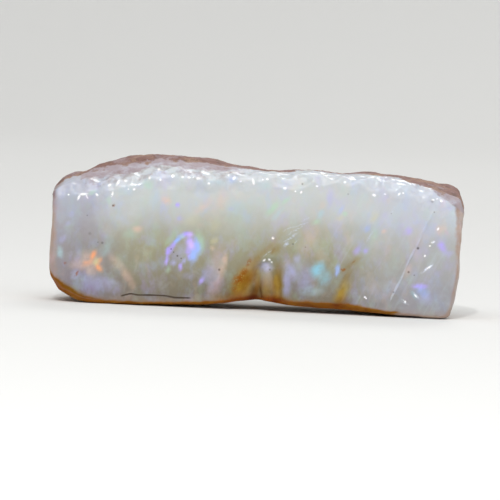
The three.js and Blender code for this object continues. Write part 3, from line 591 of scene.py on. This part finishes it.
def surface_tree(colours):
    """Geometry nodes that wear a sharp solid into a glassy broken surface, in millimetres."""
    inputs = {"Geometry": "Geometry", "Softness": "Int", "Seed": "Float", "Material": "Material"}
    inputs.update({size: "Float" for size in SURFACE_SIZES})
    tree, nodes, given = group_nodes(
        "Broken opal surface", "GeometryNodeTree", inputs, {"Geometry": "Geometry"},
    )

    def blurred(value, rounds):
        sockets = {"Value": value, "Iterations": rounds}
        return nodes.add("GeometryNodeBlurAttribute", sockets, data_type="FLOAT_VECTOR")

    def moved(geometry, **sockets):
        return nodes.add("GeometryNodeSetPosition", {"Geometry": geometry, **sockets})

    def sized(vector, size):
        sizes = nodes.add("ShaderNodeCombineXYZ", {0: size, 1: size, 2: size})
        return nodes.vector("DIVIDE", vector, sizes)

    def swell(vector, size, height, detail):
        """Smooth noise, as high as the height and as deep."""
        noise = nodes.noise(sized(vector, size), 1.0, detail).outputs[0]
        return nodes.times(nodes.minus(noise, 0.5), nodes.times(height, 2.0))

    def dishes(vector, size, depth):
        """Shallow dishes side by side, with a ridge where each meets the next."""
        sockets = {"Vector": sized(vector, size), "Scale": 1.0}
        distance = nodes.add("ShaderNodeTexVoronoi", sockets)
        return nodes.times(nodes.fade(distance, 0.75, 0.0), nodes.times(depth, -1.0))

    def stored(geometry, name, value, kind="FLOAT"):
        sockets = {"Geometry": geometry, "Name": name, "Value": value}
        return nodes.add("GeometryNodeStoreNamedAttribute", sockets, data_type=kind)

    position = nodes.add("GeometryNodeInputPosition")
    normal = nodes.add("GeometryNodeInputNormal")

    # Averaging rounds the facets away and wears the corners, so what it takes off is put back once
    averaged = moved(given["Geometry"], Position=blurred(position, given["Softness"]))
    worn_off = nodes.vector("SUBTRACT", position, blurred(position, given["Softness"]))
    stone = moved(averaged, Offset=worn_off)

    # How far a point stands out of its surroundings: over 0 on an edge, under 0 in a hollow
    standing_out = nodes.vector("SUBTRACT", position, blurred(position, EDGE_ROUNDS))
    stone = stored(stone, EDGE, nodes.vector("DOT_PRODUCT", standing_out, normal))
    stone = stored(stone, FACING, blurred(normal, FACING_ROUNDS), "FLOAT_VECTOR")
    edge = nodes.add("GeometryNodeInputNamedAttribute", {"Name": EDGE}, data_type="FLOAT")

    # The soft marks of colour, which flicker a little
    face = Face(tree, position, "Geometry")
    speckle = nodes.fade(nodes.noise(face.place, 0.45, 3, 0.6).outputs[0], 0.35, 0.6)
    flicker = nodes.math("ADD", nodes.times(speckle, 0.45), 0.6, clamp=True)
    light, clear = face.layers(PLAY, colours, flicker)
    stone = stored(stored(stone, PLAY_COLOUR, light, "FLOAT_COLOR"), PLAY_CLEAR, clear)
    stone = stored(stone, IRON_AND_SHADE, face.filters(STAINS_AND_SHADE, colours), "FLOAT_COLOR")

    seed = nodes.add("ShaderNodeCombineXYZ", {0: given["Seed"], 1: given["Seed"]})
    seeded = nodes.vector("ADD", position, seed)
    upward = nodes.node("ShaderNodeSeparateXYZ", {0: normal}).outputs[2]
    on_top = nodes.times(nodes.fade(upward, 0.45, 0.75), nodes.fade(face.behind, 1.1, 2.5))
    broken = nodes.minus(1.0, on_top)

    # Chips: a row of them along the rim of the face, and others scattered along every worn edge
    rim = nodes.times(nodes.fade(face.below_skin, 2.3, 1.1), nodes.fade(face.behind, 2.5, 1.3))
    scattered = nodes.fade(nodes.noise(seeded, 1.8, 1).outputs[0], 0.42, 0.58)
    worn = nodes.times(nodes.fade(edge, 0.03, 0.2), scattered)
    chipped = nodes.times(nodes.larger(rim, worn), broken)
    large = dishes(seeded, given["Chip size"], given["Chip depth"])
    small = dishes(
        seeded, nodes.times(given["Chip size"], SMALL_CHIP_SIZE),
        nodes.times(given["Chip depth"], SMALL_CHIP_DEPTH),
    )
    lump = swell(seeded, given["Lump size"], given["Lump height"], 1)
    chip = nodes.times(nodes.plus(nodes.plus(large, small), lump), chipped)

    wave = swell(seeded, given["Wave size"], given["Wave height"], 1)
    ripple = swell(seeded, given["Ripple size"], given["Ripple height"], 2)
    pit = nodes.times(swell(seeded, given["Pit size"], given["Pit depth"], 3), on_top)
    height = nodes.plus(nodes.plus(wave, chip), nodes.plus(ripple, pit))
    shaped = moved(stone, Offset=nodes.scale(normal, height))
    smooth = nodes.add("GeometryNodeSetShadeSmooth", {"Geometry": shaped})
    real = nodes.add("GeometryNodeRealizeInstances", {"Geometry": smooth})
    sockets = {"Geometry": real, "Material": given["Material"]}
    finished = nodes.add("GeometryNodeSetMaterial", sockets)
    nodes.node("NodeGroupOutput", {"Geometry": finished})
    return tree


class OpalLook(Face):
    """The layers of colour in the stone, from the milk inside it to the skin on top."""

    def __init__(self, tree, colours):
        nodes = Nodes(tree)
        source = nodes.node("ShaderNodeTexCoord").outputs["Object"]
        super().__init__(tree, nodes.scale(source, 1 / MM), "Shader")
        self.colours = colours
        self.colour = colours.low
        self.edge = self.stored(EDGE, "Fac")
        facing = self.node("ShaderNodeSeparateXYZ", {0: self.stored(FACING, "Vector")}).outputs
        self.sideways = self.math("ABSOLUTE", facing[0])
        self.upward = facing[2]
        self.far = self.fade(self.behind, 2.8, 5.0)
        self.grime = self.lumps(self.place, 0.8, 4)
        self.grain = self.lumps(self.place, 0.17, 2)
        self.above_keel = self.minus(self.up, self.curve(self.across, KEEL_LINE))

    def stored(self, name, output):
        """A value that the geometry nodes stored."""
        return self.node("ShaderNodeAttribute", attribute_name=name).outputs[output]

    def lumps(self, vector, size, detail):
        return self.noise(vector, size, detail, 0.6).outputs[0]

    def sway(self, value, lumps, amount):
        """A value made uneven by lumps, by about half the amount either way."""
        return self.plus(value, self.times(self.minus(lumps, 0.5), amount))

    def line(self, points, width):
        """A thin line through drawn points, from the first to the last."""
        first, last = points[0][0], points[-1][0]
        off = self.math("ABSOLUTE", self.minus(self.up, self.curve(self.across, points)))
        wide = self.times(self.plus(self.grime, 0.3), width)
        line = self.fade(self.math("DIVIDE", off, wide), 1.3, 0.5)
        begun = self.fade(self.across, first - 0.1, first + 0.1)
        return self.times(line, begun, self.fade(self.across, last + 0.1, last - 0.3))

    def lay(self, share, colour, blend="MIX"):
        """Lays a colour, named or made by nodes, over the stone's."""
        if isinstance(colour, str):
            colour = getattr(self.colours, colour)
        self.colour = self.mix(share, self.colour, colour, blend)

    def stain(self, share, colour):
        """Shows the stone's colour through a filter."""
        self.lay(share, colour, "MULTIPLY")

    def body(self):
        """Milk: bluish white near the rim, darker and warmer below as painted shade, lilac towards both
        ends.
        """
        cloud = self.lumps(self.place, 3.0, 3)
        up = self.plus(self.sway(self.up, cloud, 2.6), self.fade(self.across, 3.0, 11.0, RIGHT_PALER))
        across = self.sway(self.across, cloud, 6.0)
        # painted shade: lighter milk laid upwards, so the face darkens towards its foot
        self.lay(self.fade(up, 0.6, 5.6), "middle")
        self.lay(self.fade(up, 4.6, 9.2), "high")
        self.lay(self.fade(across, -9.0, -14.0, LEFT_TINT), "left")
        self.lay(self.fade(across, 5.0, 14.0, RIGHT_TINT), "right")
        veil = self.fade(self.lumps(self.uneven, 1.3, 4), 0.5, 0.8, VEIL_MILK)
        self.lay(veil, "milk")

    def streaks(self):
        """Faint slanting streaks on the right and behind, and one long thin ridge with a painted
        highlight.
        """
        turned = self.turned(self.place, STREAK_TURN)
        streak = self.lumps(self.vector("MULTIPLY", turned, STREAK_STRETCH), 1.0, 4)
        where = self.times(self.fade(self.across, 0.5, 7.0), self.fade(self.behind, 2.5, 1.2))
        self.streak = self.times(streak, self.larger(where, self.times(self.far, 0.8)))
        self.lay(self.fade(self.streak, 0.5, 0.75, STREAK_MILK), "milk")
        rough = self.fade(self.grime, 0.25, 0.6)
        self.ridge = self.times(self.line(RIDGE, RIDGE_WIDTH), rough, self.fade(self.behind, 2.0, 1.2))
        # painted highlight along the ridge
        self.lay(self.times(self.ridge, RIDGE_MILK), "milk")

    def flames(self):
        """Faint play of colour all through the stone, fainter in the face, which has its own."""
        share = self.plus(self.fade(self.behind, 0.8, 3.0, FLAME_SHARE), FLAME_SHARE)
        drawn = self.vector("MULTIPLY", self.uneven, (1.0, 1.0, 0.6))
        for step, name in enumerate(FLAMES):
            shifted = self.vector("ADD", drawn, (7.0 * step, 3.0, 5.0 * step))
            mask = self.fade(self.lumps(shifted, 1.25, 3), 0.5, 0.74)
            self.lay(self.times(mask, share), name)

    def play(self):
        """The face's own play of colour, which the geometry nodes stored."""
        under = self.scale(self.colour, self.stored(PLAY_CLEAR, "Fac"))
        self.colour = self.vector("ADD", under, self.stored(PLAY_COLOUR, "Vector"))

    def white_edges(self):
        """Thin edges, the face's rim and its bruises turn white; painted highlights glint on chips and
        rim.
        """
        below_skin = self.sway(self.below_skin, self.grime, 0.8)
        self.rim = self.times(self.fade(below_skin, 2.0, 0.7), self.fade(self.behind, 3.4, 1.8))
        self.lay(self.times(self.rim, RIM_MILK), "milk")
        self.lay(self.fade(self.edge, 0.08, 0.3, EDGE_MILK), "milk")
        # white bruises and hackles, with painted highlights on some chips
        bruise_and_highlight = self.times(self.spots(self.uneven, WHITE), self.fade(self.grain, 0.3, 0.6))
        self.lay(bruise_and_highlight, "milk")
        # painted highlights: the tiny glints
        glint = self.times(self.spots(self.place, GLINTS), self.fade(self.grain, 0.28, 0.5))
        self.lay(glint, "glint")

    def margins(self):
        """Age behind, cream at both ends, and amber along the foot of the face and under it."""
        colours = self.colours
        blotch = self.fade(self.lumps(self.place, 2.4, 4), 0.38, 0.6)
        aged = self.times(self.fade(self.lumps(self.uneven, 3.0, 6), 0.48, 0.62), self.far)
        self.lay(self.times(aged, 0.3), "cream")
        self.stain(self.times(aged, 0.5), "olive")

        away = self.fade(self.math("ABSOLUTE", self.across), 14.6, 15.8)
        end = self.times(self.fade(self.sideways, 0.35, 0.75), away)
        across = self.sway(self.across, self.grime, 0.5)
        left = self.fade(across, LEFT_MARGIN + 0.3, LEFT_MARGIN - 0.3)
        left = self.times(left, self.fade(self.up, 10.2, 9.0))
        right = self.fade(across, RIGHT_MARGIN - 0.15, RIGHT_MARGIN + 0.15)
        end = self.larger(end, self.larger(left, right))
        high = self.fade(self.sway(self.up, self.grime, 2.0), 7.6, 9.4)
        rosy = self.mix(high, colours.cream, colours.crust)
        self.lay(self.times(end, self.sway(END_CREAM, blotch, 0.4)), rosy)

        foot = self.fade(self.sway(self.above_keel, self.grime, 0.5), 0.85, 0.15, FOOT_CREAM)
        self.lay(foot, "cream")
        above = self.sway(self.above_keel, self.grime, 0.35)
        above = self.minus(above, self.curve(self.across, AMBER_REACH))
        warm = self.times(self.fade(above, 0.25, -0.2), self.fade(self.across, 12.0, 10.0))
        self.stain(self.times(warm, WARM_OLIVE), "olive")
        deep = self.times(self.fade(above, 0.02, -0.25), self.fade(self.across, 11.5, 9.5))
        amber = self.mix(self.times(blotch, 0.4), colours.amber, colours.olive)
        self.stain(deep, amber)

        down = self.fade(self.sway(self.upward, self.grime, 0.4), -0.25, -0.55)
        down = self.times(down, self.fade(self.above_keel, 2.4, 1.2))
        self.stained = self.larger(down, warm)
        self.lay(self.times(down, 0.7), "cream")
        pale = self.fade(self.sway(self.across, blotch, 3.0), 10.5, 13.5, 0.95)
        under = self.mix(self.times(blotch, 0.5), colours.amber, colours.olive)
        under = self.mix(self.fade(self.grime, 0.5, 0.66, 0.5), under, colours.umber)
        self.stain(self.times(down, self.minus(1.0, pale)), under)

    def iron(self):
        """Iron stain in the face, and a strip of painted shade, which take away its gloss too."""
        left = self.stored(IRON_AND_SHADE, "Color")
        held = self.minus(1.0, self.node("ShaderNodeSeparateColor", {0: left}).outputs["Blue"])
        self.stained = self.larger(self.stained, held)
        self.stain(1.0, left)

    def specks(self):
        """Speckles of rust, and single dark specks."""
        rust = self.times(self.spots(self.uneven, RUST), self.fade(self.grain, 0.34, 0.5))
        self.lay(rust, "rust")
        rows = [(x, z, half, half, 0, strength) for x, z, half, strength in SPECKS]
        self.lay(self.spots(self.place, rows), "dark")

    def crack(self):
        """A hairline that runs along the foot of the face."""
        self.open_crack = self.times(self.line(CRACK, CRACK_WIDTH), self.fade(self.behind, 2.0, 1.5))
        self.lay(self.times(self.open_crack, 0.95), "dark")

    def skin(self):
        """The skin on top: pale where it meets the break, then brown, with sand and rock on it."""
        colours = self.colours
        clot = self.lumps(self.place, 1.1, 5)
        remains = self.lumps(self.place, 2.2, 5)
        above = self.fade(self.sway(self.below_skin, self.grime, 0.9), 0.08, -0.12)
        above = self.times(above, self.fade(self.upward, -0.2, 0.1))
        behind = self.sway(self.behind, remains, 4.0)
        on_top = self.times(
            self.fade(behind, TOP_DEPTH - 0.1, TOP_DEPTH + 0.1),
            self.fade(self.sway(self.upward, remains, 2.0), 0.38, 0.46),
        )
        self.covered = self.larger(above, on_top)
        nearer = self.fade(self.across, 8.0, 12.0, BROWN_NEARER)
        brown = self.plus(self.sway(self.behind, clot, 3.5), nearer)
        brown = self.fade(brown, BROWN_DEPTH - 0.25, BROWN_DEPTH + 0.25)
        pale = self.mix(self.fade(clot, 0.45, 0.65, 0.35), colours.skin, colours.milk)
        crust = colours.crust
        for lumps, start, end, share, name in (
            (clot, 0.5, 0.62, 0.6, "ochre"), (self.grime, 0.52, 0.66, 0.75, "rock"),
            (remains, 0.46, 0.38, 0.5, "skin"), (self.grain, 0.5, 0.7, 0.35, "rock"),
        ):
            crust = self.mix(self.fade(lumps, start, end, share), crust, getattr(colours, name))
        self.lay(self.covered, self.mix(brown, pale, crust))
        broken_up = self.fade(self.lumps(self.place, 0.7, 2), 0.4, 0.7)
        near = self.fade(self.behind, 4.0, 3.0, 0.45)
        seam = self.times(self.line(SEAM, SEAM_WIDTH), broken_up, near)
        self.lay(seam, "crust")


def opal_material(colours):
    """Milky opal with its play of colour, its iron stain and its skin."""
    material = bpy.data.materials.new("Rough opal")
    material.use_nodes = True
    shader = next(node for node in material.node_tree.nodes if node.type == "BSDF_PRINCIPLED")
    look = OpalLook(material.node_tree, colours)
    for layer in (
        look.body, look.streaks, look.flames, look.play, look.white_edges,
        look.margins, look.iron, look.specks, look.crack, look.skin,
    ):
        layer()

    dull = look.larger(look.covered, look.stained)
    roughness = look.plus(look.times(look.grime, GRIME_ROUGHNESS), ROUGHNESS)
    roughness = look.plus(look.times(dull, DULL_ROUGHNESS), roughness)
    gloss = look.plus(look.times(look.rim, RIM_GLOSS), GLOSS)
    gloss = look.times(gloss, look.minus(1.0, look.times(dull, 0.95)))
    relief = look.plus(look.streak, look.times(look.grain, 0.35))
    waxy = look.times(look.lumps(look.place, 0.5, 2), 3.0)
    relief = look.plus(relief, look.times(look.rim, waxy))
    relief = look.plus(relief, look.times(look.ridge, 1.2))
    relief = look.minus(relief, look.times(look.open_crack, 1.5))
    bump = look.add("ShaderNodeBump", {"Height": relief, "Distance": BUMP_HEIGHT, "Strength": 0.7})

    made = {"Base Color": look.colour, "Roughness": roughness, "Coat Weight": gloss, "Normal": bump}
    for name, value in {**made, **OPAL_CONSTANTS}.items():
        look.feed(shader.inputs[name], value)
    return material


def new_object(name, data):
    made = bpy.data.objects.new(name, data)
    bpy.context.collection.objects.link(made)
    return made


def solid_copy(node):
    """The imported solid's mesh in millimetres, as one closed surface, in a new object."""
    mesh = bpy.data.meshes.new("rough_opal_stone")
    form = bmesh.new()
    form.from_mesh(node.data)
    bmesh.ops.remove_doubles(form, verts=form.verts, dist=1e-3 * MM)
    form.to_mesh(mesh)
    form.free()
    mesh.transform(Matrix.Scale(1 / MM, 4))
    return new_object("rough_opal_stone", mesh)


def finish_modifiers(piece):
    """Turns what the piece's modifiers make into its plain mesh, in metres."""
    bpy.context.view_layer.update()
    evaluated = piece.evaluated_get(bpy.context.evaluated_depsgraph_get())
    made = bpy.data.meshes.new_from_object(evaluated)
    piece.modifiers.clear()
    rough = piece.data
    piece.data = made
    bpy.data.meshes.remove(rough)
    made.name = piece.name
    made.transform(Matrix.Scale(MM, 4))
    made.update()


class OPAL_OT_stone(bpy.types.Operator):
    """Make the stone's broken surface and its colours"""

    bl_idname = "opal.stone"
    bl_label = "Stone"

    def execute(self, context):
        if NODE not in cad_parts:
            raise RuntimeError(f"the frame has no node {NODE}")
        surface, colours = context.scene.opal_surface, context.scene.opal_colours
        piece = solid_copy(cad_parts[NODE])
        even = piece.modifiers.new("Even mesh", "REMESH")
        even.mode = "VOXEL"
        even.voxel_size = surface.grain / MM

        broken = piece.modifiers.new("Broken surface", "NODES")
        broken.node_group = surface_tree(colours)
        values = {size: getattr(surface, size.lower().replace(" ", "_")) / MM for size in SURFACE_SIZES}
        values.update(Softness=surface.softness, Seed=surface.seed, Material=opal_material(colours))
        for item in broken.node_group.interface.items_tree:
            if item.in_out == "INPUT" and item.name in values:
                broken[item.identifier] = values[item.name]
        finish_modifiers(piece)

        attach(piece, "root")
        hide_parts(NODE)
        return {"FINISHED"}


class OPAL_OT_studio(bpy.types.Operator):
    """Make the pale floor, the soft lights and the camera"""

    bl_idname = "opal.studio"
    bl_label = "Studio"

    def execute(self, context):
        studio = context.scene.opal_studio
        self.add_floor(studio)
        self.add_sky(context.scene, studio)
        for name, setting, share, width, place in LIGHTS:
            self.add_light(name, getattr(studio, setting) * share, width, Vector(place))
        self.add_camera(context.scene, studio)
        context.scene.view_settings.view_transform = "Standard"
        return {"FINISHED"}

    def add_floor(self, studio):
        """A wide round dish: level under the stone, turned up all round behind the camera."""
        rings = [(radius, 0.0) for radius in FLOOR_RADII]
        level = FLOOR_RADII[-1]
        for step in range(1, FLOOR_STEPS + 1):
            turn = math.pi / 2 * step / FLOOR_STEPS
            out = level + (FLOOR_REACH - level) * math.sin(turn)
            rings.append((out, FLOOR_RISE * (1 - math.cos(turn))))
        form = bmesh.new()
        centre = form.verts.new((0, 0, 0))
        angles = [math.tau * side / FLOOR_SIDES for side in range(FLOOR_SIDES)]
        loops = [
            [form.verts.new((radius * math.cos(a), radius * math.sin(a), up)) for a in angles]
            for radius, up in rings
        ]
        for side in range(FLOOR_SIDES):
            following = (side + 1) % FLOOR_SIDES
            form.faces.new((centre, loops[0][side], loops[0][following]))
            for inner, outer in zip(loops, loops[1:]):
                form.faces.new((inner[side], outer[side], outer[following], inner[following]))
        for face in form.faces:
            face.smooth = True
        mesh = bpy.data.meshes.new("studio_floor")
        form.to_mesh(mesh)
        form.free()
        paint = bpy.data.materials.new("Pale floor")
        paint.use_nodes = True
        shader = next(node for node in paint.node_tree.nodes if node.type == "BSDF_PRINCIPLED")
        shader.inputs["Base Color"].default_value = (*studio.floor_colour, 1)
        shader.inputs["Roughness"].default_value = FLOOR_ROUGHNESS
        mesh.materials.append(paint)
        new_object("studio_floor", mesh)

    def add_sky(self, scene, studio):
        world = bpy.data.worlds.new("Studio sky")
        world.use_nodes = True
        background = next(node for node in world.node_tree.nodes if node.type == "BACKGROUND")
        background.inputs["Color"].default_value = (1, 1, 1, 1)
        background.inputs["Strength"].default_value = studio.sky
        scene.world = world

    def add_light(self, name, power, width, place):
        """A round soft light that faces the stone."""
        light = bpy.data.lights.new(name, "AREA")
        light.shape = "DISK"
        light.size = width
        light.energy = power
        lamp = new_object(name, light)
        lamp.location = place
        towards = Vector((0, 0, STONE_MIDDLE)) - place
        lamp.rotation_euler = towards.to_track_quat("-Z", "Y").to_euler()

    def add_camera(self, scene, studio):
        """Looks at the middle of the picture on the face, rolled so that the face is seen level."""
        across, up = PICTURE_MIDDLE
        right = Vector((math.cos(LEAN), 0, math.sin(LEAN)))
        level_up = Vector((-math.sin(LEAN), 0, math.cos(LEAN)))
        inward = Vector((0, 1, 0))
        forward = inward * math.cos(studio.elevation) - level_up * math.sin(studio.elevation)
        camera_up = level_up * math.cos(studio.elevation) + inward * math.sin(studio.elevation)
        target = (right * across + level_up * up - inward * FACE_DEPTH) * MM
        data = bpy.data.cameras.new("Camera")
        data.lens = data.sensor_width * studio.reach / studio.field
        data.clip_start = 0.01
        data.clip_end = 10
        camera = new_object("Camera", data)
        turned = Matrix((right, camera_up, -forward)).transposed().to_4x4()
        camera.matrix_world = Matrix.Translation(target - forward * studio.reach) @ turned
        scene.camera = camera


SETTINGS = {"opal_surface": OpalSurface, "opal_colours": OpalColours, "opal_studio": OpalStudio}


class OPAL_PT_panel(bpy.types.Panel):
    """The specimen's pieces and their settings"""

    bl_label = "Rough opal"
    bl_space_type = "VIEW_3D"
    bl_region_type = "UI"
    bl_category = "Opal"

    def draw(self, context):
        layout = self.layout
        layout.operator(OPAL_OT_stone.bl_idname)
        layout.operator(OPAL_OT_studio.bl_idname)
        for group in SETTINGS:
            settings = getattr(context.scene, group)
            box = layout.box()
            for name in settings.bl_rna.properties.keys():
                if name not in ("rna_type", "name"):
                    box.prop(settings, name)


CLASSES = (*SETTINGS.values(), OPAL_OT_stone, OPAL_OT_studio, OPAL_PT_panel)


def register():
    for item in CLASSES:
        bpy.utils.register_class(item)
    for name, group in SETTINGS.items():
        setattr(bpy.types.Scene, name, bpy.props.PointerProperty(type=group))


def unregister():
    for name in SETTINGS:
        delattr(bpy.types.Scene, name)
    for item in reversed(CLASSES):
        bpy.utils.unregister_class(item)


def main():
    register()
    bpy.ops.opal.studio()
    bpy.ops.opal.stone()


if __name__ == "__main__":
    main()
